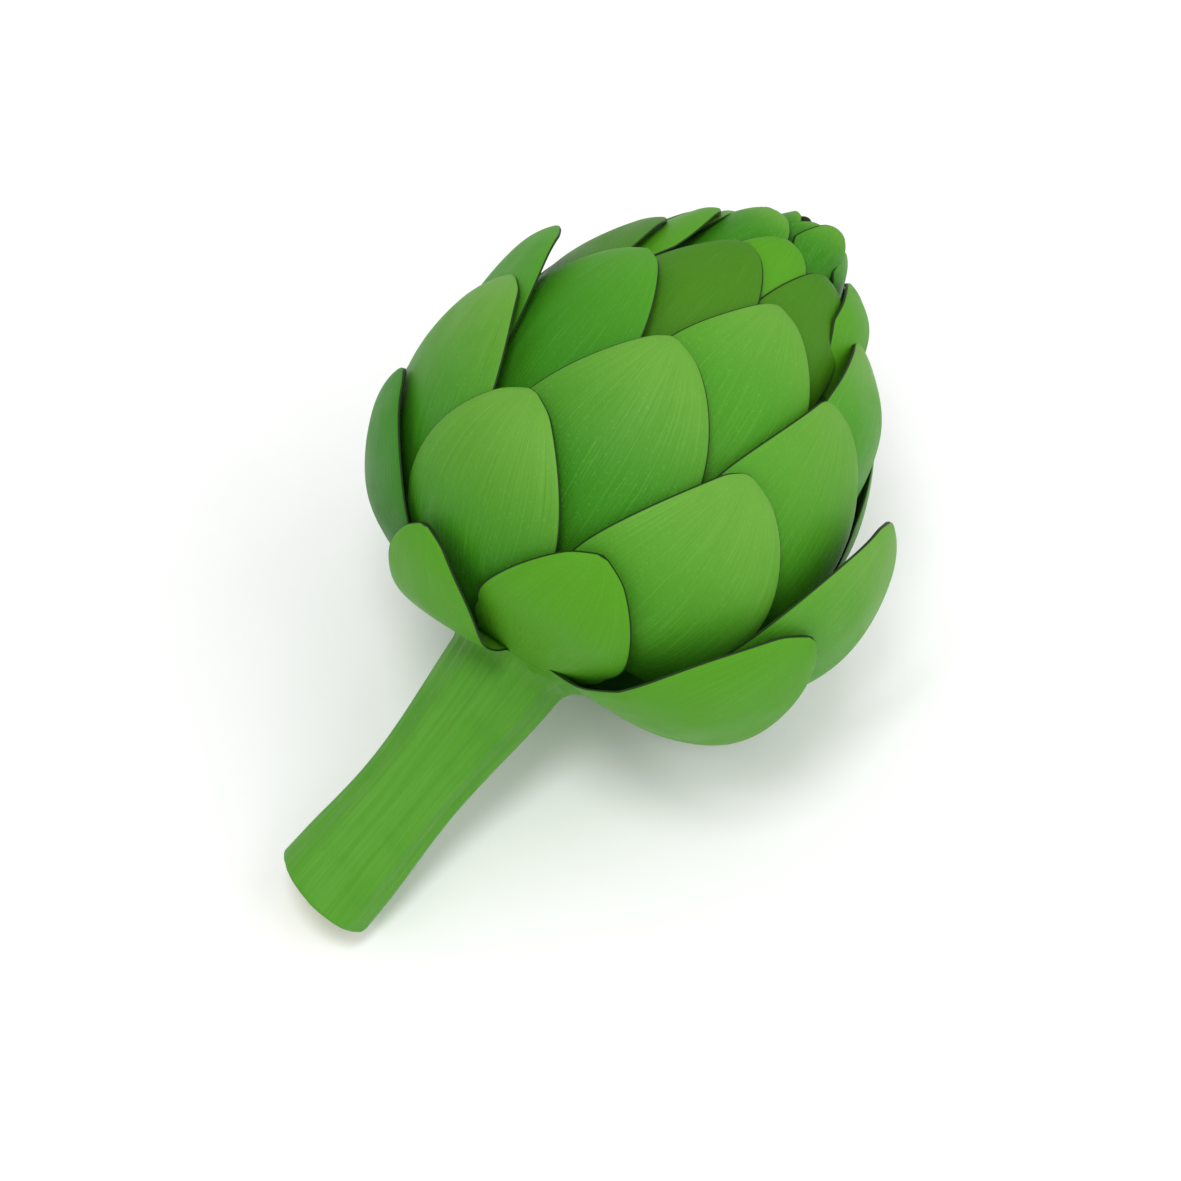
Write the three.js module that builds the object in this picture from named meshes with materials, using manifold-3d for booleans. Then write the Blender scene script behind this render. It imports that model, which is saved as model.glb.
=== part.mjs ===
// A cut globe artichoke lying on its side: a ribbed stem and a head of overlapping bracts.
// Millimetres, +Z up. The head and stem are grown along a local +Z axis, from the stem joint at
// height 0 to the apex, and are then laid down so that the head's bracts and the stem's cut end
// touch the plane Z = 0.

import * as THREE from 'three';
import { mergeVertices } from 'three/addons/utils/BufferGeometryUtils.js';
import Module from 'manifold-3d';

// Head: the outer envelope of the bracts, as [height, radius] from the stem joint to the apex
const HEAD_ENVELOPE = [
  [0, 16], [4.5, 34], [14, 46.5], [34, 53], [56, 49.5], [76, 39], [92, 25], [103, 13.5], [107, 5], [108, 1],
];
const ENVELOPE_STEPS = 600;
const HEAD_BEND = 5;
const HEAD_BEND_START = 70;
const LOPSIDED_RADIUS = 0.03;

// Bract order: each next bract turns by the golden angle and climbs by an equal share of the radius
const GOLDEN_ANGLE = THREE.MathUtils.degToRad(137.5);
const FIRST_BRACT = -4;
const LAST_BRACT = 46;
const BROKEN_OFF_BRACT = -2;
const FRONT_BRACT_ANGLE = THREE.MathUtils.degToRad(4);
const FRONT_BRACT_TIP = 47.5;
const CLIMB_PER_BRACT = 0.0765;
const CLOSING_CLIMB = 1.3;
const LOPSIDED_CLIMB = 0.04;

// Bract shape: angles in radians round the head, lengths as multiples of the local radius
const BRACT_LENGTH = 1.2;
const ARCH_LENGTH = 0.65;
const ARCH_POWER = 1.8;
const LEANING_ARCH_POWER = 1.3;
const ARCH_FULLNESS = 0.87;
const STRAIGHTER_FULLNESS = 1;
const FULLER_FULLNESS = 0.74;
const CLOSING_FULLNESS = 0.65;
const UPRIGHT_BRACT = 4;
const LEANING_BRACT = 9;
const LAST_LEANING_BRACT = 21;
const TIP_HALF_ANGLE = 0.05;
const WIDEST_HALF_ANGLE = 0.45;
const ROOT_WIDTH_SHARE = 0.8;
const CLOSING_HALF_ANGLE = 1;
const FIRST_CLOSING_BRACT = 32;
const JOINT_ROOT = 0.5;
const LOWEST_FREE_ROOT = 20;
const BRACT_ROWS = [0, 0.04, 0.12, 0.25, 0.46, 0.7, 1];
const BRACT_COLUMNS = 5;
const CLOSING_COLUMNS = 4;

// Bract layering: how fast a bract sinks below the envelope from its tip to its root, and how far
// its tip curls in
const INSET_BASE = 3.2;
const INSET_RATE = 0.09;
const INSET_CURVE = 1.4;
const BASE_LAYERING = 0.3;
const BASE_REACH = 35;
const EDGE_TUCK = 0.5;
const TIP_CURL = 1;
const TIP_CURL_REACH = 0.2;
const THICKNESS_BASE = 0.7;
const THICKNESS_RATE = 0.016;
const EDGE_THINNING = 0.3;

// Bracts out of line, by number: how far the tip stands open and over what share, how far the
// middle bulges, the extra climb, the extra turn in degrees, and the arch's lean, which is negative
// where the straighter side is the one at across > 0
const IN_LINE = { open: 0, reach: 1, belly: 0, climb: 0, turn: 0 };
const OUT_OF_LINE = new Map([
  [-4, { open: 1.5, climb: 0.16 }],
  [-3, { open: 1, belly: 3.5, climb: -0.03, turn: 11 }],
  [0, { climb: 0.04, turn: 1 }],
  [1, { open: 1.5 }],
  [2, { open: 0.6, belly: 1, climb: 0.06, turn: 7 }],
  [3, { open: 4.5, reach: 1.3, belly: 3, turn: -1.5, lean: -1 }],
  [5, { climb: 0.03 }],
  [10, { open: 2, reach: 0.7, belly: 1 }],
  [11, { open: 5, reach: 0.7, belly: 4, climb: -0.08, turn: -6, lean: 0 }],
  [13, { climb: -0.035 }],
  [15, { open: 4.2, reach: 0.7, climb: -0.05, turn: 21, lean: 1.6 }],
  [16, { climb: -0.04 }],
  [19, { climb: -0.08, turn: 8 }],
  [21, { climb: -0.03, turn: 2 }],
  [24, { belly: 3, climb: -0.06, turn: 2 }],
  [26, { turn: 4 }],
  [31, { climb: -0.12, turn: -16 }],
  [32, { open: -0.5, belly: 2.8, turn: -16 }],
  [34, { climb: -0.25 }],
  [36, { open: -1.5, climb: -0.35 }],
  [37, { open: 2.2, climb: 0.38, turn: -19 }],
  [39, { climb: -0.36, turn: -8 }],
  [40, { climb: -0.25, turn: -6 }],
  [41, { climb: -0.5 }],
  [44, { climb: -0.4 }],
  [46, { climb: -0.4 }],
]);

// Core: the fleshy base and heart that the bracts stand out of
const CORE_DEPTH = 1.15;
const CORE_BASE_DEPTH = 2.2;
const CORE_SIDES = 20;
const CORE_RINGS = 8;
const CORE_BASE_RADIUS = 12.5;
const CORE_COLLAR = [17.5, 1.4];
const CORE_TOP_RADIUS = 15;
const CORE_TOP_HEIGHT = 103.5;

// Stem: its length, its side bend at the cut end, its radii and its ribs
const STEM_LENGTH = 58.1;
const STEM_BEND = -7.8;
const STEM_BEND_CURVE = 1.3;
const STEM_END_RADIUS = 11;
const STEM_WAIST_RADIUS = 9.8;
const STEM_JOINT_RADIUS = 12.2;
const STEM_WAIST = 0.42;
const STEM_RIBS = 9;
const STEM_RIB_HEIGHT = 0.3;
const STEM_SIDES = 36;
const STEM_RINGS = 12;
const CUT_SLANT = [0.3, 0.23];
const CUT_SLANT_CURVE = 4;
const JOINT_GAP = 0.3;

// Lying pose: lean of the axis above the surface, turn about the axis, and where the axis starts
const LEAN = THREE.MathUtils.degToRad(28.8);
const TURN = THREE.MathUtils.degToRad(19.7);
const JOINT_PLACE = new THREE.Vector3(-18.3, 3.4, 33.8);
const SURFACE_BLOCK = 400;
const SHARED_POINT_DISTANCE = 1e-4;

const { clamp, lerp, smoothstep } = THREE.MathUtils;

const wasm = await Module();
wasm.setup();

function envelopeTable() {
  const points = HEAD_ENVELOPE.map(([height, radius]) => new THREE.Vector2(radius, height));
  const samples = new THREE.SplineCurve(points).getSpacedPoints(ENVELOPE_STEPS);
  let climb = 0;
  let length = 0;
  return samples.map((point, i) => {
    const before = samples[Math.max(i - 1, 0)];
    const after = samples[Math.min(i + 1, samples.length - 1)];
    const step = point.distanceTo(before);
    length += step;
    climb += step / point.x;
    const along = after.clone().sub(before).normalize();
    return { length, climb, radius: point.x, height: point.y, out: [along.y, -along.x] };
  });
}

const ENVELOPE = envelopeTable();
const HEAD_HEIGHT = ENVELOPE.at(-1).height;

function envelopeAt(key, value) {
  let high = ENVELOPE.findIndex((row) => row[key] >= value);
  high = high < 0 ? ENVELOPE.length - 1 : Math.max(high, 1);
  const a = ENVELOPE[high - 1];
  const b = ENVELOPE[high];
  const part = clamp((value - a[key]) / (b[key] - a[key]), 0, 1);
  const mix = (name) => lerp(a[name], b[name], part);
  const out = a.out.map((side, i) => lerp(side, b.out[i], part));
  return { length: mix('length'), climb: mix('climb'), radius: mix('radius'), height: mix('height'), out };
}

// A point of the head, which is fuller on its local +Y side and bends that way near its top
function headPlace(evenRadius, angle, height) {
  const bend = HEAD_BEND * (Math.max(height - HEAD_BEND_START, 0) / (HEAD_HEIGHT - HEAD_BEND_START)) ** 2;
  const radius = evenRadius * (1 + LOPSIDED_RADIUS * Math.sin(angle));
  return new THREE.Vector3(radius * Math.cos(angle), radius * Math.sin(angle) + bend, height);
}

// A point at a given angle round the head and depth below the envelope
function headPoint(place, angle, depth) {
  return headPlace(place.radius - depth * place.out[0], angle, place.height - depth * place.out[1]);
}

// A closed geometry from rows of outer and inner points, split into triangles alike on both faces
function bladeGeometry(outer, inner) {
  const rows = outer.length;
  const columns = outer[0].length;
  const positions = [...outer.flat(), ...inner.flat()].flatMap((point) => point.toArray());
  const at = (side, row, column) => side * rows * columns + row * columns + column;
  const faces = [];
  const quad = (a, b, c, d) => faces.push(a, b, c, a, c, d);
  for (let row = 0; row < rows - 1; row += 1) {
    for (let column = 0; column < columns - 1; column += 1) {
      const corners = [[row, column], [row + 1, column], [row + 1, column + 1], [row, column + 1]];
      const [a, b, c, d] = corners.map(([r, q]) => at(0, r, q));
      const [e, f, g, h] = corners.map(([r, q]) => at(1, r, q));
      faces.push(a, b, c, a, c, d);
      faces.push(e, g, f, e, h, g);
    }
  }
  const last = columns - 1;
  for (let row = 0; row < rows - 1; row += 1) {
    quad(at(0, row, 0), at(1, row, 0), at(1, row + 1, 0), at(0, row + 1, 0));
    quad(at(0, row + 1, last), at(1, row + 1, last), at(1, row, last), at(0, row, last));
  }
  for (let column = 0; column < last; column += 1) {
    quad(at(0, 0, column + 1), at(1, 0, column + 1), at(1, 0, column), at(0, 0, column));
    quad(at(0, rows - 1, column), at(1, rows - 1, column), at(1, rows - 1, column + 1),
      at(0, rows - 1, column + 1));
  }
  const geometry = new THREE.BufferGeometry();
  geometry.setAttribute('position', new THREE.Float32BufferAttribute(positions, 3));
  geometry.setIndex(faces);
  return geometry;
}

// Depth that one radius of a bract's length sinks it by, at a place on the envelope
function insetAt(place) {
  const layering = lerp(BASE_LAYERING, 1, smoothstep(place.length, 0, BASE_REACH));
  return layering * (INSET_BASE + INSET_RATE * place.radius);
}

// Half of the angle that a bract spans, at a distance below its tip: an arch above a tapering
// stalk. A leaning arch is straighter on one side and fuller on the other.
function halfAngle(fall, tipClimb, number, across) {
  const closing = smoothstep(number, FIRST_CLOSING_BRACT, LAST_BRACT);
  const widest = lerp(WIDEST_HALF_ANGLE, CLOSING_HALF_ANGLE, closing);
  if (fall < ARCH_LENGTH) {
    const lean = OUT_OF_LINE.get(number)?.lean ?? smoothstep(number, UPRIGHT_BRACT, LEANING_BRACT);
    const straighter = lean < 0 ? across > 0 : across < 0;
    const power = straighter ? lerp(ARCH_POWER, LEANING_ARCH_POWER, Math.abs(lean)) : ARCH_POWER;
    const ownFullness = straighter ? STRAIGHTER_FULLNESS : FULLER_FULLNESS;
    const evened = smoothstep(number, LAST_LEANING_BRACT, FIRST_CLOSING_BRACT);
    const fullness = lerp(lerp(ARCH_FULLNESS, ownFullness, Math.abs(lean)), CLOSING_FULLNESS, evened);
    const arch = (1 - (1 - fall / ARCH_LENGTH) ** power) ** fullness;
    return TIP_HALF_ANGLE + (widest - TIP_HALF_ANGLE) * arch;
  }
  const taper = lerp(1, ROOT_WIDTH_SHARE, smoothstep(fall, ARCH_LENGTH, BRACT_LENGTH));
  const shoulder = envelopeAt('climb', tipClimb - ARCH_LENGTH).radius;
  return (widest * taper * shoulder) / envelopeAt('climb', tipClimb - fall).radius;
}

// Where a bract's root lies: the lowest bracts all grow from the stem joint
function rootClimbOf(tipClimb) {
  const root = envelopeAt('climb', tipClimb - BRACT_LENGTH);
  return root.length < LOWEST_FREE_ROOT ? envelopeAt('length', JOINT_ROOT).climb : root.climb;
}

function bractGeometry(number) {
  const { open, reach, belly, climb, turn } = { ...IN_LINE, ...OUT_OF_LINE.get(number) };
  const angle = FRONT_BRACT_ANGLE + GOLDEN_ANGLE * number + THREE.MathUtils.degToRad(turn);
  const frontClimb = envelopeAt('length', FRONT_BRACT_TIP).climb;
  const closing = Math.max(number - FIRST_CLOSING_BRACT, 0) / (LAST_BRACT - FIRST_CLOSING_BRACT);
  const tipClimb = frontClimb + CLIMB_PER_BRACT * number + CLOSING_CLIMB * closing ** 2
    - LOPSIDED_CLIMB * Math.sin(angle) + climb;
  const length = tipClimb - rootClimbOf(tipClimb);
  const columns = number < FIRST_CLOSING_BRACT ? BRACT_COLUMNS : CLOSING_COLUMNS;
  const outer = [];
  const inner = [];
  for (const share of BRACT_ROWS) {
    const fall = share * length;
    const place = envelopeAt('climb', tipClimb - fall);
    const sunk = fall ** INSET_CURVE * insetAt(place);
    const opened = open * (1 - smoothstep(fall, 0, reach)) + belly * Math.sin(Math.PI * share) ** 2;
    const curled = TIP_CURL * (1 - Math.min(fall / TIP_CURL_REACH, 1)) ** 2;
    const thickness = THICKNESS_BASE + THICKNESS_RATE * place.radius;
    const outerRow = [];
    const innerRow = [];
    for (let column = 0; column <= columns; column += 1) {
      const across = (2 * column) / columns - 1;
      const turned = angle + across * halfAngle(fall, tipClimb, number, across);
      const depth = sunk - opened + curled + EDGE_TUCK * across ** 2;
      outerRow.push(headPoint(place, turned, depth));
      innerRow.push(headPoint(place, turned, depth + thickness * (1 - EDGE_THINNING * across ** 2)));
    }
    outer.push(outerRow);
    inner.push(innerRow);
  }
  return bladeGeometry(outer, inner);
}

function coreGeometry() {
  const widest = ENVELOPE.findIndex((row) => row.out[1] > 0);
  const end = ENVELOPE.findIndex((row, i) => i > widest && row.radius < CORE_TOP_RADIUS);
  const profile = [[0, 0], [CORE_BASE_RADIUS, 0], CORE_COLLAR].map(([x, y]) => new THREE.Vector2(x, y));
  for (let ring = 1; ring <= CORE_RINGS; ring += 1) {
    const place = ENVELOPE[Math.round((ring / CORE_RINGS) * end)];
    const sunk = lerp(CORE_BASE_DEPTH, CORE_DEPTH, smoothstep(place.length, 0, BASE_REACH));
    const depth = sunk * insetAt(place);
    const [outRadial, outUp] = place.out;
    profile.push(new THREE.Vector2(place.radius - depth * outRadial, place.height - depth * outUp));
  }
  profile.push(new THREE.Vector2(0, CORE_TOP_HEIGHT));
  const geometry = new THREE.LatheGeometry(profile, CORE_SIDES).rotateX(Math.PI / 2);
  const corners = geometry.getAttribute('position');
  for (let i = 0; i < corners.count; i += 1) {
    const corner = new THREE.Vector3().fromBufferAttribute(corners, i);
    const radius = Math.hypot(corner.x, corner.y);
    const bent = headPlace(radius, Math.atan2(corner.y, corner.x), corner.z);
    corners.setXYZ(i, bent.x, bent.y, bent.z);
  }
  return geometry;
}

// Stem radius at a share of its length, from the cut end to the head
function stemRadius(share) {
  const below = smoothstep(share, 0, STEM_WAIST);
  const above = smoothstep(share, STEM_WAIST, 1);
  return STEM_END_RADIUS + (STEM_WAIST_RADIUS - STEM_END_RADIUS) * below
    + (STEM_JOINT_RADIUS - STEM_WAIST_RADIUS) * above;
}

function stemGeometry() {
  const positions = [];
  const faces = [];
  for (let ring = 0; ring <= STEM_RINGS; ring += 1) {
    const share = ring / STEM_RINGS;
    const bend = STEM_BEND * (1 - share) ** STEM_BEND_CURVE;
    const slant = (1 - share) ** CUT_SLANT_CURVE;
    for (let side = 0; side < STEM_SIDES; side += 1) {
      const angle = (side / STEM_SIDES) * 2 * Math.PI;
      const rib = STEM_RIB_HEIGHT * Math.cos(STEM_RIBS * angle);
      const radius = stemRadius(share) + rib;
      const x = radius * Math.cos(angle);
      const y = radius * Math.sin(angle);
      const slanted = slant * (CUT_SLANT[0] * x + CUT_SLANT[1] * y);
      positions.push(x, y + bend, -JOINT_GAP - (1 - share) * (STEM_LENGTH - JOINT_GAP) - slanted);
    }
  }
  const ends = [[0, STEM_BEND, -STEM_LENGTH], [STEM_RINGS, 0, -JOINT_GAP]].map(([ring, y, z]) => {
    const centre = positions.length / 3;
    positions.push(0, y, z);
    return { centre, ring };
  });
  for (let side = 0; side < STEM_SIDES; side += 1) {
    const next = (side + 1) % STEM_SIDES;
    for (let ring = 0; ring < STEM_RINGS; ring += 1) {
      const low = ring * STEM_SIDES;
      const high = low + STEM_SIDES;
      faces.push(low + side, low + next, high + next, low + side, high + next, high + side);
    }
    for (const { centre, ring } of ends) {
      const row = ring * STEM_SIDES;
      const pair = ring > 0 ? [side, next] : [next, side];
      faces.push(centre, row + pair[0], row + pair[1]);
    }
  }
  const geometry = new THREE.BufferGeometry();
  geometry.setAttribute('position', new THREE.Float32BufferAttribute(positions, 3));
  geometry.setIndex(faces);
  return geometry;
}

function solidOf(geometry) {
  const bare = new THREE.BufferGeometry();
  bare.setAttribute('position', geometry.getAttribute('position'));
  if (geometry.index) bare.setIndex(geometry.index);
  const merged = mergeVertices(bare, SHARED_POINT_DISTANCE);
  const corners = merged.index.array;
  const faces = [];
  for (let i = 0; i < corners.length; i += 3) {
    const [a, b, c] = corners.slice(i, i + 3);
    if (a !== b && b !== c && a !== c) faces.push(a, b, c);
  }
  return new wasm.Manifold(new wasm.Mesh({
    numProp: 3,
    vertProperties: new Float32Array(merged.getAttribute('position').array),
    triVerts: new Uint32Array(faces),
  }));
}

function geometryOf(solid) {
  const { vertProperties, triVerts } = solid.getMesh();
  const geometry = new THREE.BufferGeometry();
  geometry.setAttribute('position', new THREE.Float32BufferAttribute(vertProperties, 3));
  geometry.setIndex(new THREE.Uint32BufferAttribute(triVerts, 1));
  geometry.computeVertexNormals();
  return geometry;
}

// Local axes laid down: the growth axis leans up along +X, and its side +Y points to -Y
function lyingMatrix() {
  const axis = new THREE.Vector3(Math.cos(LEAN), 0, Math.sin(LEAN));
  const side = new THREE.Vector3(0, -1, 0);
  const top = new THREE.Vector3().crossVectors(side, axis);
  const laid = new THREE.Matrix4().makeBasis(top, side, axis).setPosition(JOINT_PLACE);
  return laid.multiply(new THREE.Matrix4().makeRotationZ(TURN));
}

const LAID = lyingMatrix();

function surfaceBlock() {
  const block = new THREE.BoxGeometry(SURFACE_BLOCK, SURFACE_BLOCK, SURFACE_BLOCK);
  return block.translate(0, 0, -SURFACE_BLOCK / 2);
}

// Lays a solid down, trims what would reach below the surface, and keeps its one large body
function laidSolid(solids) {
  const joined = solids.reduce((whole, solid) => whole.add(solid));
  const trimmed = joined.subtract(solidOf(surfaceBlock()));
  const bodies = trimmed.decompose();
  return bodies.reduce((largest, body) => (body.volume() > largest.volume() ? body : largest));
}

function laid(geometry) {
  return solidOf(geometry.applyMatrix4(LAID));
}

function headSolid() {
  const solids = [laid(coreGeometry())];
  for (let number = FIRST_BRACT; number <= LAST_BRACT; number += 1) {
    if (number !== BROKEN_OFF_BRACT) solids.push(laid(bractGeometry(number)));
  }
  return laidSolid(solids);
}

function namedMesh(name, solid, colour, roughness) {
  const material = new THREE.MeshStandardMaterial({ color: colour, roughness, metalness: 0 });
  const mesh = new THREE.Mesh(geometryOf(solid), material);
  mesh.name = name;
  return mesh;
}

const artichoke = new THREE.Group();
artichoke.add(namedMesh('head', headSolid(), 0x559634, 0.5));
artichoke.add(namedMesh('stem', laidSolid([laid(stemGeometry())]), 0x5a9c31, 0.6));

export default artichoke;
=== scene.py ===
"""A cut globe artichoke lying on its side on a pale floor.

The head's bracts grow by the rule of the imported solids: each turns by the golden angle and climbs
by an equal share of the radius along one smooth envelope. A climb of 1 is a way up the envelope as
long as the local radius. Sizes are millimetres until a point is laid down, which turns it into
metres in the part's frame.
"""
import math

import bpy
import numpy as np
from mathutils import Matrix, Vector


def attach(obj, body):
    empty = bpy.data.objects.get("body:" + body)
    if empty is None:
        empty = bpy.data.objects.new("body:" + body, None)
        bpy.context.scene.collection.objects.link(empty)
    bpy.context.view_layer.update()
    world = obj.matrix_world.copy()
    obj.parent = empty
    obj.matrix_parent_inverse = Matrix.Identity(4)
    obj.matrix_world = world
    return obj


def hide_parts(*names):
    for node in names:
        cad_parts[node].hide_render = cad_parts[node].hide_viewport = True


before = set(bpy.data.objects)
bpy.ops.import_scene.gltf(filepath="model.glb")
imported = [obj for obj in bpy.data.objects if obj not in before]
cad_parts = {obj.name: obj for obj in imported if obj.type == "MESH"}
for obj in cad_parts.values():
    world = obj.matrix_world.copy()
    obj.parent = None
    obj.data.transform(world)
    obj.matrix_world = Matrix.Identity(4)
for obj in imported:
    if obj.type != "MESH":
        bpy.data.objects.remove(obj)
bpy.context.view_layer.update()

MM = 0.001

# Head envelope, as (height, radius) from the stem joint to the apex
HEAD_ENVELOPE = [
    (0, 16), (4.5, 34), (14, 46.5), (34, 53), (56, 49.5),
    (76, 39), (92, 25), (103, 13.5), (107, 5), (108, 1),
]
ENVELOPE_STEPS = 6000
HEAD_BEND = 5.0
HEAD_BEND_START = 70.0
LOPSIDED_RADIUS = 0.03

# Bract order, from the lowest bract to the innermost
GOLDEN_ANGLE = math.radians(137.5)
FIRST_BRACT = -4
LAST_BRACT = 46
BROKEN_OFF_BRACT = -2
FIRST_CLOSING_BRACT = 32
FRONT_BRACT_ANGLE = math.radians(4)
FRONT_BRACT_TIP = 47.5
CLIMB_PER_BRACT = 0.0765
CLOSING_CLIMB = 1.3
LOPSIDED_CLIMB = 0.04

# Bract outline: lengths in climb, half widths in radians round the head
BRACT_LENGTH = 1.2
ARCH_LENGTH = 0.65
WIDEST_HALF_ANGLE = 0.45
CLOSING_HALF_ANGLE = 1.0
TIP_HALF_ANGLE = 0.05
TIP_ROUNDING = 0.07
ROOT_WIDTH_SHARE = 0.8

# Bract arch: the power and fullness of its two sides, which differ where it leans. It comes to lean
# between the upright and the leaning bract, and its fullness evens out above the last leaning one.
ARCH_POWER = 1.8
LEANING_ARCH_POWER = 1.3
ARCH_FULLNESS = 0.87
STRAIGHTER_FULLNESS = 1.0
FULLER_FULLNESS = 0.74
CLOSING_FULLNESS = 0.65
UPRIGHT_BRACT = 4
LEANING_BRACT = 9
LAST_LEANING_BRACT = 21

# Bract roots, in millimetres along the envelope: one below the lowest free root goes to the joint
LOWEST_FREE_ROOT = 20.0
JOINT_ROOT = 0.5

# Bract grid: the rows' spacing is a sum of (weight, power), closer towards the tip
BRACT_ROWS = 56
BRACT_COLUMNS = 48
ROW_SPACING = [(0.3, 2), (0.7, 1.3)]

# Bract layering: how far a bract sinks in below its tip, less so near the stem, and how far its edges
# tuck in and its tip curls
INSET_BASE = 3.2
INSET_RATE = 0.09
INSET_CURVE = 1.4
BASE_LAYERING = 0.3
BASE_REACH = 35.0
EDGE_TUCK = 0.5
TIP_CURL = 1.0
TIP_CURL_REACH = 0.2

# Bract thickness, and the rims over which it goes to nothing
THICKNESS_BASE = 0.7
THICKNESS_RATE = 0.016
EDGE_THINNING = 0.4
SIDE_RIM_POWER = 14
END_RIM = 0.02

# Bracts out of line, by number: how far the tip stands open and over what length, how far the
# middle bulges, and the extra climb and turn. A lean stands in for the one that the number gives:
# 1 leans as the neighbours do, and a negative one leans to the other side.
IN_LINE = {"open": 0.0, "reach": 1.0, "belly": 0.0, "climb": 0.0, "turn": 0.0}
OUT_OF_LINE = {
    -4: {"open": 1.5, "climb": 0.16},
    -3: {"open": 1.0, "belly": 3.5, "climb": -0.03, "turn": 11.0},
    0: {"climb": 0.04, "turn": 1.0},
    1: {"open": 1.5},
    2: {"open": 0.6, "belly": 1.0, "climb": 0.06, "turn": 7.0},
    3: {"open": 4.5, "reach": 1.3, "belly": 3.0, "turn": -1.5, "lean": -1.0},
    5: {"climb": 0.03},
    10: {"open": 2.0, "reach": 0.7, "belly": 1.0},
    11: {"open": 5.0, "reach": 0.7, "belly": 4.0, "climb": -0.08, "turn": -6.0, "lean": 0.0},
    13: {"climb": -0.035},
    15: {"open": 4.2, "reach": 0.7, "climb": -0.05, "turn": 21.0, "lean": 1.6},
    16: {"climb": -0.04},
    19: {"climb": -0.08, "turn": 8.0},
    21: {"climb": -0.03, "turn": 2.0},
    24: {"belly": 3.0, "climb": -0.06, "turn": 2.0},
    26: {"turn": 4.0},
    31: {"climb": -0.12, "turn": -16.0},
    32: {"open": -0.5, "belly": 2.8, "turn": -16.0},
    34: {"climb": -0.25},
    36: {"open": -1.5, "climb": -0.35},
    37: {"open": 2.2, "climb": 0.38, "turn": -19.0},
    39: {"climb": -0.36, "turn": -8.0},
    40: {"climb": -0.25, "turn": -6.0},
    41: {"climb": -0.5},
    44: {"climb": -0.4},
    46: {"climb": -0.4},
}

# Core under the bracts: its depths are multiples of the bracts' inset, its base rings (radius, height).
# Above those it starts at a length along the envelope, and ends at a radius of it, under a blunt cap.
CORE_SIDES = 96
CORE_ROWS = 70
CORE_DEPTH = 1.15
CORE_BASE_DEPTH = 2.8
CORE_BASE_RINGS = [(12.5, 1.0), (17.0, 3.3)]
CORE_LOWEST_RING = 19.0
CORE_TOP_RADIUS = 15.0
CORE_TOP_HEIGHT = 103.5
CORE_CAP_RADII = (6.0, 1.0)
CORE_CAP_RISE = 0.7

# Stem: a share of its length is 0 at the cut end and 1 at the top, and its rings crowd at both ends
STEM_SIDES = 216
STEM_RINGS = 110
STEM_LENGTH = 58.1
STEM_TOP = 3.4
STEM_BEND = -7.8
STEM_BEND_POWER = 1.3
STEM_END_RADIUS = 11.0
STEM_WAIST_RADIUS = 9.8
STEM_JOINT_RADIUS = 12.2
STEM_WAIST = 0.42
CUT_END_CROWDING = 1.2
TOP_CROWDING = 1.6

# Stem ribs, and the flare under the bracts
STEM_RIBS = 9
STEM_RIB_HEIGHT = 0.3
FINE_RIBS = 23
FINE_RIB_HEIGHT = 0.12
FINE_RIB_START = 2.0
FLARE_REACH = 6.0
FLARE_WIDTH = 5.2
FLARE_POWER = 3

# Cut face: its slant, its round edge, how the ribs even out to it, and its rings as shares of the radius
CUT_SLANT = (0.3, 0.23)
CUT_SLANT_POWER = 4
CUT_ROUNDING = 0.6
CUT_RIB_SHARE = 0.25
CUT_RIB_REACH = 0.2
CUT_RINGS = 22
CUT_INNER_RING = 0.03
CUT_OUTER_RING = 0.999
CUT_LIMIT = 0.9995

# Lying pose
LEAN = math.radians(28.8)
TURN = math.radians(19.7)
JOINT_PLACE = Vector((-18.3, 3.4, 33.8))
PRESS_HEIGHT = 0.7

# Colours, linear
FLAT_GREEN = (0.075, 0.283, 0.01)
# Dark green: painted shade at the bract roots, and darker patches on the stem
DARK_GREEN = (0.036, 0.21, 0.007)
LIGHT_GREEN = (0.12, 0.32, 0.034)
STEM_GREEN = (0.062, 0.262, 0.008)
OLIVE_GREEN = (0.052, 0.19, 0.006)
DEEP_LIGHT_GREEN = (0.07, 0.275, 0.016)
# Darker green, painted shade on bract 2
SHADOWED_BRACT_GREEN = (0.022, 0.15, 0.004)
# Lighter root green, painted light on bracts that the lamps leave darker
PAINTED_LIFT_ROOT_GREEN = (0.058, 0.262, 0.012)
# Near-black edge line: partly the bracts' own margin, partly painted shade of the gaps between them
EDGE_AND_GAP_SHADE_COLOUR = (0.012, 0.03, 0.006)
# Core greens: painted shade, dark where the core shows between the bracts
CORE_SHADE_COLOUR = (0.02, 0.08, 0.01)
CORE_SHADE_GREEN = (0.03, 0.17, 0.008)
FLESH_COLOUR = (0.42, 0.5, 0.2)
PALE_FLESH_COLOUR = (0.56, 0.6, 0.33)
FLESH_RING_COLOUR = (0.2, 0.33, 0.08)
RIND_COLOUR = (0.16, 0.12, 0.04)
FLOOR_COLOURS = [(0.9, 0.9, 0.9), (0.93, 0.93, 0.93)]
WORLD_COLOUR = (1.0, 1.0, 1.0, 1.0)

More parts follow.
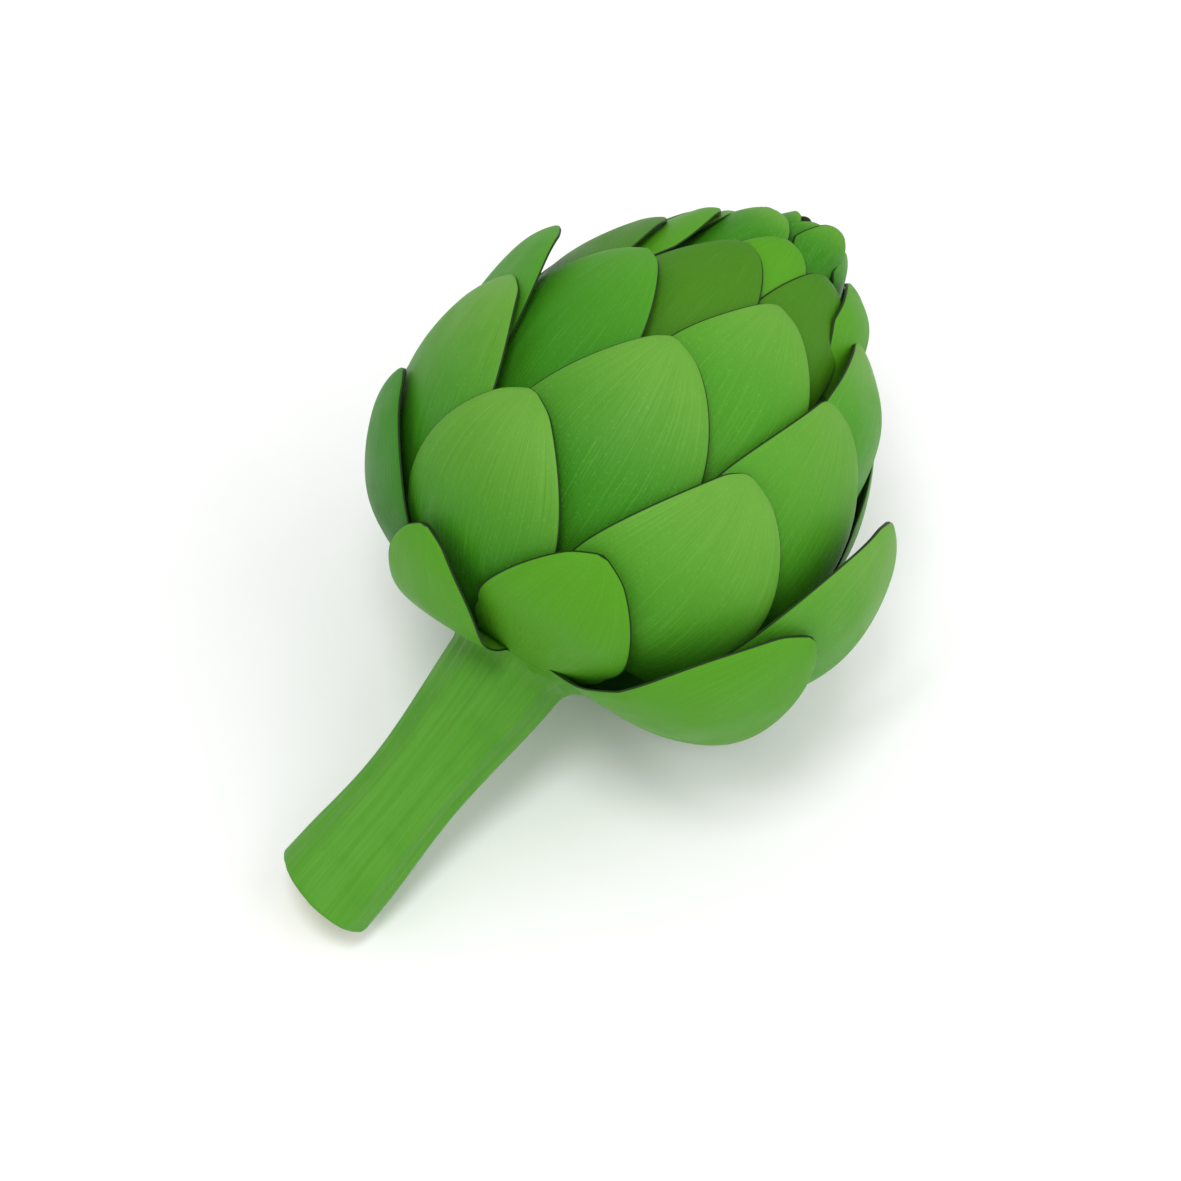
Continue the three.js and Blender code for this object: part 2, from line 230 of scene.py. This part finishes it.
# Bract tones, as (root, tip), and the bracts that have another one than the common one. A root darker than
# its tip is painted shade, where the bract lies under the bracts above it.
BRACT_TONES = {
    "even": (FLAT_GREEN, FLAT_GREEN),
    "shaded": (DARK_GREEN, LIGHT_GREEN),
    "olive": (OLIVE_GREEN, OLIVE_GREEN),
    "deep": (DARK_GREEN, DEEP_LIGHT_GREEN),
    # Darker copy of the shaded tone: painted shade
    "deepest": (SHADOWED_BRACT_GREEN, DARK_GREEN),
    # Lighter copy of the shaded tone: painted light
    "painted_lift": (PAINTED_LIFT_ROOT_GREEN, LIGHT_GREEN),
}
COMMON_TONE = "shaded"
BRACTS_OF_TONE = {
    "even": (-4, -3, -1, 0, 3, 31, 32, 34),
    "olive": (23, 26, 29),
    "deep": (15, 18),
    # Bract 2, darkened with painted shade
    "deepest": (2,),
    # Bracts lifted with painted light, as the lamps leave them darker
    "painted_lift": (8, 11, 16, 21, 24),
}

# Noises, as (scale, detail, roughness) or the first of these
VEINS = (2.0, 3.0, 0.6)
FRECKLES = (1600.0, 2.0)
BRACT_MOTTLE = (90.0, 3.0)
BRACT_GRAIN = (1400.0, 2.0)
CORE_MOTTLE = (200.0,)
CORE_SKIN_MOTTLE = (400.0,)
STREAKS = (3.0, 5.0, 0.6)
STEM_MOTTLE = (120.0, 3.0)
STEM_GRAIN = (1100.0, 3.0)
FLESH_GRAIN = (900.0, 3.0)
FLOOR_GRAIN = (60.0,)
VEINS_ACROSS = 26.0
STREAK_STRETCH = (6.0, 6.0, 1.2)

# Masks, as where the input starts and ends and the values that it is mapped to
# Painted shade, darker towards a bract's root
PAINTED_ROOT_SHADE = (0.04, 0.75, 0.0, 1.0)
LIGHT_VEINS = (0.5, 0.8, 0.0, 0.3)
DARK_VEINS = (0.2, 0.5, 0.22, 0.0)
BRACT_PATCHES = (0.45, 0.8, 0.0, 0.2)
LIGHT_FRECKLES = (0.55, 0.75, 0.0, 0.14)
# Edge line along each bract: partly its own margin, partly painted shade of the gaps between bracts
EDGE_AND_GAP_SHADE_LINE = (0.28, 0.5, 1.0, 0.0)
# Painted shade on the core, from a little above the joint up
CORE_SHADE_SPAN = (2.0, 9.0, 0.0, 1.0)
LIGHT_STREAKS = (0.35, 0.7, 0.0, 0.36)
STEM_PATCHES = (0.5, 0.8, 0.0, 0.3)
FLESH_RING_START = (0.6, 0.72, 0.0, 1.0)
FLESH_RING_END = (0.8, 0.9, 1.0, 0.0)
FLESH_RING_SHARE = 0.5
RIND = (0.93, 0.99, 0.0, 1.0)

# Surface finish: roughness as a mask of the mottle, relief as (broad weight, grain weight, strength)
BRACT_ROUGHNESS = (0.3, 0.7, 0.42, 0.56)
STEM_ROUGHNESS = (0.3, 0.7, 0.5, 0.62)
CORE_ROUGHNESS = 0.6
FLOOR_ROUGHNESS = 0.9
BRACT_RELIEF = (0.8, 0.2, 0.35)
STEM_RELIEF = (0.7, 0.3, 0.3)
RELIEF_DEPTH = 0.0005
BRACT_GLOSS = 0.13
CORE_GLOSS = 0.2
STEM_GLOSS = 0.3
DEEPER_SHARE = 0.55
PALER_SHARE = 1.45
PALER_EXTRA = 0.02

# Photograph: its size, how many of its pixels make a millimetre, and where it shows the stem joint
PHOTO_SIDE = 1181
PIXELS_PER_MM = 5.0
JOINT_PIXEL = (511.0, 664.0)

# Camera: its direction, its lens and sensor in millimetres, and the nearest distance in metres
CAMERA_AZIMUTH = math.radians(-53.0)
CAMERA_ELEVATION = math.radians(55.9)
LENS = 135.0
SENSOR = 36.0
NEAREST_SEEN = 0.01

# Studio, in metres and watts: each light as (name, place, size, power)
FLOOR_REACH = 3.0
WORLD_STRENGTH = 0.8
LIGHTS = [
    ("key", (-0.3, -0.1, 1.15), 0.35, 4.8),
    ("fill", (0.3, -0.8, 0.9), 1.2, 3.8),
]


def smooth_rise(value, start, end):
    part = np.clip((value - start) / (end - start), 0.0, 1.0)
    return part * part * (3 - 2 * part)


def mix(a, b, part):
    return a + (b - a) * part


def angles_round(sides):
    return np.linspace(0, 2 * math.pi, sides, endpoint=False)[None, :]


def spline_points(points, count):
    """Points of a smooth curve through the given ones."""
    places = np.array(points, float)
    last = len(places) - 1
    at = np.linspace(0, last, count)
    low = np.minimum(at.astype(int), last - 1)
    part = (at - low)[:, None]
    p0 = places[np.maximum(low - 1, 0)]
    p1 = places[low]
    p2 = places[low + 1]
    p3 = places[np.minimum(low + 2, last)]
    v0 = (p2 - p0) / 2
    v1 = (p3 - p1) / 2
    cubic = (2 * p1 - 2 * p2 + v0 + v1) * part**3
    square = (-3 * p1 + 3 * p2 - 2 * v0 - v1) * part**2
    return cubic + square + v0 * part + p1


class Envelope:
    """The surface of revolution that the bracts' outer faces follow."""

    def __init__(self, points):
        curve = spline_points(points, ENVELOPE_STEPS)
        steps = np.linalg.norm(np.diff(curve, axis=0), axis=1)
        along = np.gradient(curve, axis=0)
        along /= np.linalg.norm(along, axis=1)[:, None]
        self.length = np.concatenate([[0], np.cumsum(steps)])
        self.climb = np.concatenate([[0], np.cumsum(steps / curve[1:, 1])])
        self.rows = {
            "length": self.length, "height": curve[:, 0], "radius": curve[:, 1],
            "out_radial": along[:, 0], "out_up": -along[:, 1],
        }

    def at_climb(self, climb):
        return {name: np.interp(climb, self.climb, row) for name, row in self.rows.items()}

    def climb_at(self, length):
        return float(np.interp(length, self.length, self.climb))


ENVELOPE = Envelope(HEAD_ENVELOPE)


def head_points(place, angle, depth):
    """Points at an angle round the head and a depth under the envelope, bent as the head bends."""
    radius = (place["radius"] - depth * place["out_radial"]) * (1 + LOPSIDED_RADIUS * np.sin(angle))
    height = place["height"] - depth * place["out_up"]
    rise = np.maximum(height - HEAD_BEND_START, 0) / (HEAD_ENVELOPE[-1][0] - HEAD_BEND_START)
    across = radius * np.sin(angle) + HEAD_BEND * rise**2
    return np.stack(np.broadcast_arrays(radius * np.cos(angle), across, height), axis=-1)


def laid(points):
    """Lays points down in the part's frame, in metres, and presses what would pass the surface flat."""
    x, y, z = np.moveaxis(np.asarray(points, float), -1, 0)
    top = x * math.cos(TURN) - y * math.sin(TURN)
    side = x * math.sin(TURN) + y * math.cos(TURN)
    world = np.stack([
        z * math.cos(LEAN) - top * math.sin(LEAN) + JOINT_PLACE.x,
        -side + JOINT_PLACE.y,
        z * math.sin(LEAN) + top * math.cos(LEAN) + JOINT_PLACE.z,
    ], axis=-1)
    low = world[..., 2] < PRESS_HEIGHT
    world[low, 2] = PRESS_HEIGHT * np.exp((world[low, 2] - PRESS_HEIGHT) / PRESS_HEIGHT)
    return world * MM


def new_piece(name, points, faces, attributes, node, material):
    """Adds a smooth piece in place of a node of the frame, with attributes that hold a value per point."""
    mesh = bpy.data.meshes.new(name)
    mesh.from_pydata(points.tolist(), [], faces)
    for key, values in attributes.items():
        layer = mesh.attributes.new(key, "FLOAT", "POINT")
        layer.data.foreach_set("value", np.asarray(values, np.float32))
    mesh.polygons.foreach_set("use_smooth", [True] * len(mesh.polygons))
    mesh.materials.append(material)
    mesh.validate()
    piece = bpy.data.objects.new(name, mesh)
    bpy.context.scene.collection.objects.link(piece)
    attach(piece, "root")
    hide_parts(node)


def inset_at(place):
    """How far under the envelope a bract lies one climb below its tip, less near the stem."""
    layering = mix(BASE_LAYERING, 1.0, smooth_rise(place["length"], 0, BASE_REACH))
    return layering * (INSET_BASE + INSET_RATE * place["radius"])


def arch_share(rise, number, across):
    """Share of the full width at a rise of 0 at the tip to 1 at the widest place, on either side."""
    lean = OUT_OF_LINE.get(number, {}).get("lean", smooth_rise(number, UPRIGHT_BRACT, LEANING_BRACT))
    leaning = abs(lean)
    straighter = across > 0 if lean < 0 else across < 0
    power = np.where(straighter, mix(ARCH_POWER, LEANING_ARCH_POWER, leaning), ARCH_POWER)
    fullness = mix(ARCH_FULLNESS, np.where(straighter, STRAIGHTER_FULLNESS, FULLER_FULLNESS), leaning)
    evened = smooth_rise(number, LAST_LEANING_BRACT, FIRST_CLOSING_BRACT)
    return (1 - (1 - rise) ** power) ** mix(fullness, CLOSING_FULLNESS, evened)


def half_angle(fall, tip_climb, number, across):
    """Half width round the head at a fall below the tip: an arch, and below it a stalk."""
    closing = smooth_rise(number, FIRST_CLOSING_BRACT, LAST_BRACT)
    widest = mix(WIDEST_HALF_ANGLE, CLOSING_HALF_ANGLE, closing)
    rise = np.minimum(fall / ARCH_LENGTH, 1)
    arch = TIP_HALF_ANGLE + (widest - TIP_HALF_ANGLE) * arch_share(rise, number, across)
    taper = mix(1.0, ROOT_WIDTH_SHARE, smooth_rise(fall, ARCH_LENGTH, BRACT_LENGTH))
    shoulder = ENVELOPE.at_climb(tip_climb - ARCH_LENGTH)["radius"]
    stalk = widest * taper * shoulder / ENVELOPE.at_climb(tip_climb - fall)["radius"]
    rounding = np.sqrt(1 - (1 - np.minimum(fall / TIP_ROUNDING, 1)) ** 2)
    return np.where(fall < ARCH_LENGTH, arch, stalk) * rounding


def tip_climb_of(number, angle, own_climb):
    closing = max(number - FIRST_CLOSING_BRACT, 0) / (LAST_BRACT - FIRST_CLOSING_BRACT)
    in_line = ENVELOPE.climb_at(FRONT_BRACT_TIP) + CLIMB_PER_BRACT * number + CLOSING_CLIMB * closing**2
    return in_line + (own_climb - LOPSIDED_CLIMB * math.sin(angle))


def root_climb_of(tip_climb):
    root = ENVELOPE.at_climb(tip_climb - BRACT_LENGTH)
    if root["length"] < LOWEST_FREE_ROOT:
        return ENVELOPE.climb_at(JOINT_ROOT)
    return tip_climb - BRACT_LENGTH


def outer_depth(fall, length, across, place, own):
    """Depth of a bract's outer face under the envelope."""
    opened = own["open"] * (1 - smooth_rise(fall, 0, own["reach"]))
    depth = fall**INSET_CURVE * inset_at(place) - opened
    depth = depth - own["belly"] * np.sin(math.pi * fall / length) ** 2
    depth = depth + TIP_CURL * (1 - np.minimum(fall / TIP_CURL_REACH, 1)) ** 2
    return depth + EDGE_TUCK * across**2


def half_rimmed(thickness, fall, length, across):
    """Half the thickness, going round to nothing at the sides, the tip and the root."""
    side_rim = np.sqrt(np.maximum(1 - np.abs(across) ** SIDE_RIM_POWER, 0))
    tip_rim = np.sqrt(1 - (1 - np.minimum(fall / END_RIM, 1)) ** 2)
    root_rim = np.sqrt(np.minimum((length - fall) / END_RIM, 1))
    return thickness / 2 * side_rim * tip_rim * root_rim


def blade_faces(rows, columns):
    """Faces of a closed blade: one tip point, outer rows, then inner rows inside the shared border."""
    outer = np.zeros((rows, columns + 1), int)
    outer[1:] = 1 + np.arange((rows - 1) * (columns + 1)).reshape(rows - 1, columns + 1)
    first_inner = int(outer.max()) + 1
    inner = outer.copy()
    inner[1:-1, 1:-1] = first_inner + np.arange((rows - 2) * (columns - 1)).reshape(rows - 2, columns - 1)
    faces = []
    for grid, flip in ((outer, False), (inner, True)):
        for column in range(columns):
            face = [0, int(grid[1, column]), int(grid[1, column + 1])]
            faces.append(face[::-1] if flip else face)
        for row in range(1, rows - 1):
            for column in range(columns):
                face = [
                    int(grid[row, column]), int(grid[row + 1, column]),
                    int(grid[row + 1, column + 1]), int(grid[row, column + 1]),
                ]
                faces.append(face[::-1] if flip else face)
    return faces


def in_face_order(outer, inner):
    """The values of an outer and an inner grid, in the order that blade_faces counts its points."""
    return np.concatenate([
        outer[:1, 0],
        outer[1:].reshape(-1, *outer.shape[2:]),
        inner[1:-1, 1:-1].reshape(-1, *outer.shape[2:]),
    ])


BLADE_FACES = blade_faces(BRACT_ROWS, BRACT_COLUMNS)


def bract(number, material):
    """Adds one bract as a closed blade, with what its material needs at each point."""
    own = {**IN_LINE, **OUT_OF_LINE.get(number, {})}
    angle = FRONT_BRACT_ANGLE + GOLDEN_ANGLE * number + math.radians(own["turn"])
    tip_climb = tip_climb_of(number, angle, own["climb"])
    length = tip_climb - root_climb_of(tip_climb)

    share = np.linspace(0, 1, BRACT_ROWS)[:, None]
    fall = length * sum(weight * share**power for weight, power in ROW_SPACING)
    across = np.sin(np.linspace(-0.5, 0.5, BRACT_COLUMNS + 1) * math.pi)[None, :]
    place = ENVELOPE.at_climb(tip_climb - fall)
    own_half_angle = half_angle(fall, tip_climb, number, across)
    turned = angle + across * own_half_angle
    thickness = (THICKNESS_BASE + THICKNESS_RATE * place["radius"]) * (1 - EDGE_THINNING * across**2)
    depth = outer_depth(fall, length, across, place, own) + thickness / 2
    half_thickness = half_rimmed(thickness, fall, length, across)
    outer = head_points(place, turned, depth - half_thickness)
    inner = head_points(place, turned, depth + half_thickness)

    side_margin = place["radius"] * own_half_angle * (1 - np.abs(across))
    tip_margin = np.broadcast_to(fall * place["radius"], side_margin.shape)
    grids = {
        "fall": np.broadcast_to(fall, side_margin.shape),
        "across": np.broadcast_to(across, side_margin.shape),
        "margin": np.minimum(side_margin, tip_margin),
    }
    points = laid(in_face_order(outer, inner))
    attributes = {key: in_face_order(grid, grid) for key, grid in grids.items()}
    attributes["number"] = np.full(len(points), float(number))
    name = f"bract_{number - FIRST_BRACT + 1:02d}"
    new_piece(name, points, BLADE_FACES, attributes, "head", material)


def lathe_faces(rows, sides):
    """Faces of a closed body of rings, flat at both ends."""
    faces = []
    for row in range(rows - 1):
        for side in range(sides):
            after = (side + 1) % sides
            faces.append([
                row * sides + side, row * sides + after,
                (row + 1) * sides + after, (row + 1) * sides + side,
            ])
    faces.append(list(reversed(range(sides))))
    faces.append([(rows - 1) * sides + side for side in range(sides)])
    return faces


def core(material):
    """Adds the body that the bracts stand on, a depth under the envelope, with a base and a cap."""
    radii = ENVELOPE.rows["radius"]
    widest = int(np.argmax(radii))
    top = widest + int(np.argmax(radii[widest:] < CORE_TOP_RADIUS))
    climb = np.linspace(ENVELOPE.climb_at(CORE_LOWEST_RING), ENVELOPE.climb[top], CORE_ROWS)
    place = ENVELOPE.at_climb(climb)
    insets = mix(CORE_BASE_DEPTH, CORE_DEPTH, smooth_rise(place["length"], 0, BASE_REACH))
    depth = insets * inset_at(place)
    radius = place["radius"] - depth * place["out_radial"]
    height = place["height"] - depth * place["out_up"]
    base_radii, base_heights = np.transpose(CORE_BASE_RINGS)
    cap_heights = [mix(height[-1], CORE_TOP_HEIGHT, CORE_CAP_RISE), CORE_TOP_HEIGHT]
    radius = np.concatenate([base_radii, radius, CORE_CAP_RADII])
    height = np.concatenate([base_heights, height, cap_heights])
    ring = {"radius": radius[:, None], "height": height[:, None], "out_radial": 0.0, "out_up": 0.0}
    points = laid(head_points(ring, angles_round(CORE_SIDES), 0.0)).reshape(-1, 3)
    faces = lathe_faces(len(radius), CORE_SIDES)
    attributes = {"rise": np.repeat(height, CORE_SIDES)}
    new_piece("head_core", points, faces, attributes, "head", material)


def stem_radius(share):
    below = smooth_rise(share, 0, STEM_WAIST)
    above = smooth_rise(share, STEM_WAIST, 1)
    waist = mix(STEM_END_RADIUS, STEM_WAIST_RADIUS, below)
    return waist + (STEM_JOINT_RADIUS - STEM_WAIST_RADIUS) * above


def stem_rings():
    """Each ring's share of the stem's length and of its radius, from the middle of the cut face up."""
    even = np.linspace(0, 1, STEM_RINGS)[:, None]
    share = mix(even**CUT_END_CROWDING, 1 - (1 - even) ** TOP_CROWDING, even)
    inward = np.linspace(CUT_INNER_RING, CUT_OUTER_RING, CUT_RINGS)[:, None]
    shares = np.concatenate([np.zeros((CUT_RINGS, 1)), share])
    inwards = np.concatenate([inward, np.ones((STEM_RINGS, 1))])
    return shares, inwards


def stem(material):
    """Adds the ribbed stalk, bent, flared under the bracts and cut at a slant."""
    angle = angles_round(STEM_SIDES)
    share, inward = stem_rings()
    fine_ribs = FINE_RIB_HEIGHT * np.cos(FINE_RIBS * angle + FINE_RIB_START)
    ribs = STEM_RIB_HEIGHT * np.cos(STEM_RIBS * angle) + fine_ribs
    full = stem_radius(share) + ribs * mix(CUT_RIB_SHARE, 1.0, smooth_rise(share, 0, CUT_RIB_REACH))
    from_cut = np.clip(1 - share * STEM_LENGTH / CUT_ROUNDING, 0, 1)
    rounded = CUT_ROUNDING * (1 - np.sqrt(1 - from_cut**2))
    height = -STEM_LENGTH + share * (STEM_LENGTH + STEM_TOP)
    up_flare = np.clip((height + FLARE_REACH - STEM_TOP) / FLARE_REACH, 0, 1)
    radius = (full + FLARE_WIDTH * up_flare**FLARE_POWER - rounded) * inward
    x = radius * np.cos(angle)
    y = radius * np.sin(angle)
    slant = (CUT_SLANT[0] * x + CUT_SLANT[1] * y) * (1 - share) ** CUT_SLANT_POWER
    bend = STEM_BEND * (1 - share) ** STEM_BEND_POWER
    points = np.stack([x, y + bend, height - slant], axis=-1)
    shape = points.shape[:2]
    attributes = {
        "share": np.broadcast_to(share, shape).reshape(-1),
        "inward": np.broadcast_to(inward, shape).reshape(-1),
        "angle": np.broadcast_to(angle, shape).reshape(-1),
    }
    faces = lathe_faces(shape[0], STEM_SIDES)
    new_piece("stem_body", laid(points).reshape(-1, 3), faces, attributes, "stem", material)


class Shader:
    """A material's node tree, built one node at a time."""

    def __init__(self, name):
        self.material = bpy.data.materials.new(name)
        self.material.use_nodes = True
        self.tree = self.material.node_tree
        self.surface = self.tree.nodes["Principled BSDF"]

    def node(self, kind, inputs=None, **settings):
        made = self.tree.nodes.new(kind)
        for key, value in settings.items():
            setattr(made, key, value)
        for key, value in (inputs or {}).items():
            self.put(made.inputs[key], value)
        return made

    def put(self, socket, value):
        if isinstance(value, bpy.types.NodeSocket):
            self.tree.links.new(value, socket)
        elif isinstance(value, tuple) and socket.type == "RGBA":
            socket.default_value = (*value, 1.0)
        else:
            socket.default_value = value

    def attribute(self, name):
        return self.node("ShaderNodeAttribute", attribute_name=name).outputs["Fac"]

    def place(self):
        return self.node("ShaderNodeTexCoord").outputs["Object"]

    def math(self, operation, *values):
        made = self.node("ShaderNodeMath", operation=operation)
        for socket, value in zip(made.inputs, values):
            self.put(socket, value)
        return made.outputs[0]

    def mask(self, value, low, high, at_low, at_high):
        inputs = {"Value": value, "From Min": low, "From Max": high, "To Min": at_low, "To Max": at_high}
        return self.node("ShaderNodeMapRange", inputs, interpolation_type="SMOOTHSTEP").outputs[0]

    def blend(self, part, a, b):
        made = self.node("ShaderNodeMix", data_type="RGBA")
        colours = [socket for socket in made.inputs if socket.type == "RGBA"]
        self.put(made.inputs[0], part)
        self.put(colours[0], a)
        self.put(colours[1], b)
        return next(socket for socket in made.outputs if socket.type == "RGBA")

    def vector(self, x, y, z):
        return self.node("ShaderNodeCombineXYZ", {"X": x, "Y": y, "Z": z}).outputs[0]

    def noise(self, vector, scale, detail=3.0, roughness=0.5):
        inputs = {"Vector": vector, "Scale": scale, "Detail": detail, "Roughness": roughness}
        return self.node("ShaderNodeTexNoise", inputs).outputs["Fac"]

    def relief(self, broad, grain, broad_weight, grain_weight, strength):
        weighted_broad = self.math("MULTIPLY", broad, broad_weight)
        weighted_grain = self.math("MULTIPLY", grain, grain_weight)
        height = self.math("ADD", weighted_broad, weighted_grain)
        inputs = {"Height": height, "Strength": strength, "Distance": RELIEF_DEPTH}
        return self.node("ShaderNodeBump", inputs).outputs[0]

    def finish(self, **values):
        for key, value in values.items():
            self.put(self.surface.inputs[key.replace("_", " ")], value)
        return self.material


def bract_material(name, dark, light):
    """Waxy bract skin: painted shade darkening it towards the root, where it lies under the bracts above,
    light at the tip, with fine veins and a dark margin line, partly its own margin and partly painted
    shade of the gap between bracts.
    """
    shader = Shader(name)
    place = shader.place()
    fall = shader.attribute("fall")
    deepest = tuple(part * DEEPER_SHARE for part in dark)
    palest = tuple(min(part * PALER_SHARE + PALER_EXTRA, 1.0) for part in light)
    over_veins = shader.math("MULTIPLY", shader.attribute("across"), VEINS_ACROSS)
    veins = shader.noise(shader.vector(over_veins, fall, shader.attribute("number")), *VEINS)
    mottle = shader.noise(place, *BRACT_MOTTLE)
    freckles = shader.noise(place, *FRECKLES)
    # Painted shade: darker towards the root, where the bract lies under the bracts above it
    colour = shader.blend(shader.mask(fall, *PAINTED_ROOT_SHADE), light, dark)
    colour = shader.blend(shader.mask(veins, *LIGHT_VEINS), colour, palest)
    colour = shader.blend(shader.mask(veins, *DARK_VEINS), colour, deepest)
    colour = shader.blend(shader.mask(mottle, *BRACT_PATCHES), colour, dark)
    colour = shader.blend(shader.mask(freckles, *LIGHT_FRECKLES), colour, palest)
    # Dark line along the edge: partly the bract's own margin, partly painted shade of the gap between
    # bracts
    colour = shader.blend(shader.mask(shader.attribute("margin"), *EDGE_AND_GAP_SHADE_LINE), colour, EDGE_AND_GAP_SHADE_COLOUR)
    relief = shader.relief(veins, shader.noise(place, *BRACT_GRAIN), *BRACT_RELIEF)
    roughness = shader.mask(mottle, *BRACT_ROUGHNESS)
    return shader.finish(
        Base_Color=colour, Roughness=roughness, Normal=relief, Specular_IOR_Level=BRACT_GLOSS
    )


def core_material():
    """Painted shade, dark where the core shows between the bracts, and the stem's green beside the joint.
    """
    shader = Shader("bract_shade")
    place = shader.place()
    # Painted shade where the core shows between the bracts
    painted_shade = shader.blend(shader.noise(place, *CORE_MOTTLE), CORE_SHADE_COLOUR, CORE_SHADE_GREEN)
    skin = shader.blend(shader.noise(place, *CORE_SKIN_MOTTLE), STEM_GREEN, FLAT_GREEN)
    colour = shader.blend(shader.mask(shader.attribute("rise"), *CORE_SHADE_SPAN), skin, painted_shade)
    return shader.finish(Base_Color=colour, Roughness=CORE_ROUGHNESS, Specular_IOR_Level=CORE_GLOSS)


def flesh_colour(shader, place, inward):
    """Pale cut flesh with a greener ring and a brown rind."""
    flesh = shader.blend(shader.noise(place, *FLESH_GRAIN), FLESH_COLOUR, PALE_FLESH_COLOUR)
    ring_start = shader.mask(inward, *FLESH_RING_START)
    ring_end = shader.mask(inward, *FLESH_RING_END)
    ring = shader.math("MULTIPLY", shader.math("MULTIPLY", ring_start, ring_end), FLESH_RING_SHARE)
    flesh = shader.blend(ring, flesh, FLESH_RING_COLOUR)
    return shader.blend(shader.mask(inward, *RIND), flesh, RIND_COLOUR)


def stem_material():
    """Streaked green skin, and flesh on the cut face."""
    shader = Shader("stem_skin")
    place = shader.place()
    angle = shader.attribute("angle")
    inward = shader.attribute("inward")
    round_stem = shader.vector(
        shader.math("COSINE", angle), shader.math("SINE", angle), shader.attribute("share")
    )
    stretched = shader.node("ShaderNodeMapping", {"Vector": round_stem, "Scale": STREAK_STRETCH})
    streaks = shader.noise(stretched.outputs[0], *STREAKS)
    mottle = shader.noise(place, *STEM_MOTTLE)
    skin = shader.blend(shader.mask(streaks, *LIGHT_STREAKS), STEM_GREEN, LIGHT_GREEN)
    skin = shader.blend(shader.mask(mottle, *STEM_PATCHES), skin, DARK_GREEN)
    on_cut = shader.math("LESS_THAN", inward, CUT_LIMIT)
    colour = shader.blend(on_cut, skin, flesh_colour(shader, place, inward))
    relief = shader.relief(streaks, shader.noise(place, *STEM_GRAIN), *STEM_RELIEF)
    roughness = shader.mask(mottle, *STEM_ROUGHNESS)
    return shader.finish(
        Base_Color=colour, Roughness=roughness, Normal=relief, Specular_IOR_Level=STEM_GLOSS
    )


def floor_material():
    shader = Shader("floor_white")
    colour = shader.blend(shader.noise(shader.place(), *FLOOR_GRAIN), *FLOOR_COLOURS)
    return shader.finish(Base_Color=colour, Roughness=FLOOR_ROUGHNESS)


def head():
    materials = {tone: bract_material(f"bract_{tone}", *greens) for tone, greens in BRACT_TONES.items()}
    own_tones = {number: tone for tone, numbers in BRACTS_OF_TONE.items() for number in numbers}
    for number in range(FIRST_BRACT, LAST_BRACT + 1):
        if number != BROKEN_OFF_BRACT:
            bract(number, materials[own_tones.get(number, COMMON_TONE)])


def camera():
    """A camera at the photograph's angle, which puts the stem joint where the photograph has it."""
    back = Vector((
        math.sin(CAMERA_AZIMUTH) * math.cos(CAMERA_ELEVATION),
        -math.cos(CAMERA_AZIMUTH) * math.cos(CAMERA_ELEVATION),
        math.sin(CAMERA_ELEVATION),
    ))
    right = Vector((math.cos(CAMERA_AZIMUTH), math.sin(CAMERA_AZIMUTH), 0))
    up = back.cross(right)
    middle = PHOTO_SIDE / 2
    aim = JOINT_PLACE + right * (middle - JOINT_PIXEL[0]) / PIXELS_PER_MM
    aim += up * (JOINT_PIXEL[1] - middle) / PIXELS_PER_MM
    distance = PHOTO_SIDE / PIXELS_PER_MM * LENS / SENSOR
    made = bpy.data.objects.new("camera", bpy.data.cameras.new("camera"))
    made.data.lens = LENS
    made.data.sensor_width = SENSOR
    made.data.clip_start = NEAREST_SEEN
    made.location = (aim + back * distance) * MM
    made.rotation_euler = back.to_track_quat("Z", "Y").to_euler()
    bpy.context.scene.collection.objects.link(made)
    bpy.context.scene.camera = made


def area_light(name, place, size, power):
    made = bpy.data.objects.new(name, bpy.data.lights.new(name, "AREA"))
    made.data.shape = "DISK"
    made.data.size = size
    made.data.energy = power
    made.location = place
    made.rotation_euler = Vector(place).to_track_quat("Z", "Y").to_euler()
    bpy.context.scene.collection.objects.link(made)


def floor():
    side = FLOOR_REACH
    corners = [(-side, -side, 0), (side, -side, 0), (side, side, 0), (-side, side, 0)]
    mesh = bpy.data.meshes.new("floor")
    mesh.from_pydata(corners, [], [(0, 1, 2, 3)])
    made = bpy.data.objects.new("floor", mesh)
    bpy.context.scene.collection.objects.link(made)
    mesh.materials.append(floor_material())


def studio():
    world = bpy.data.worlds.new("studio")
    world.use_nodes = True
    background = world.node_tree.nodes["Background"]
    background.inputs["Color"].default_value = WORLD_COLOUR
    background.inputs["Strength"].default_value = WORLD_STRENGTH
    bpy.context.scene.world = world
    for light in LIGHTS:
        area_light(*light)
    bpy.context.scene.view_settings.view_transform = "Standard"


def main():
    camera()
    floor()
    studio()
    head()
    core(core_material())
    stem(stem_material())


main()
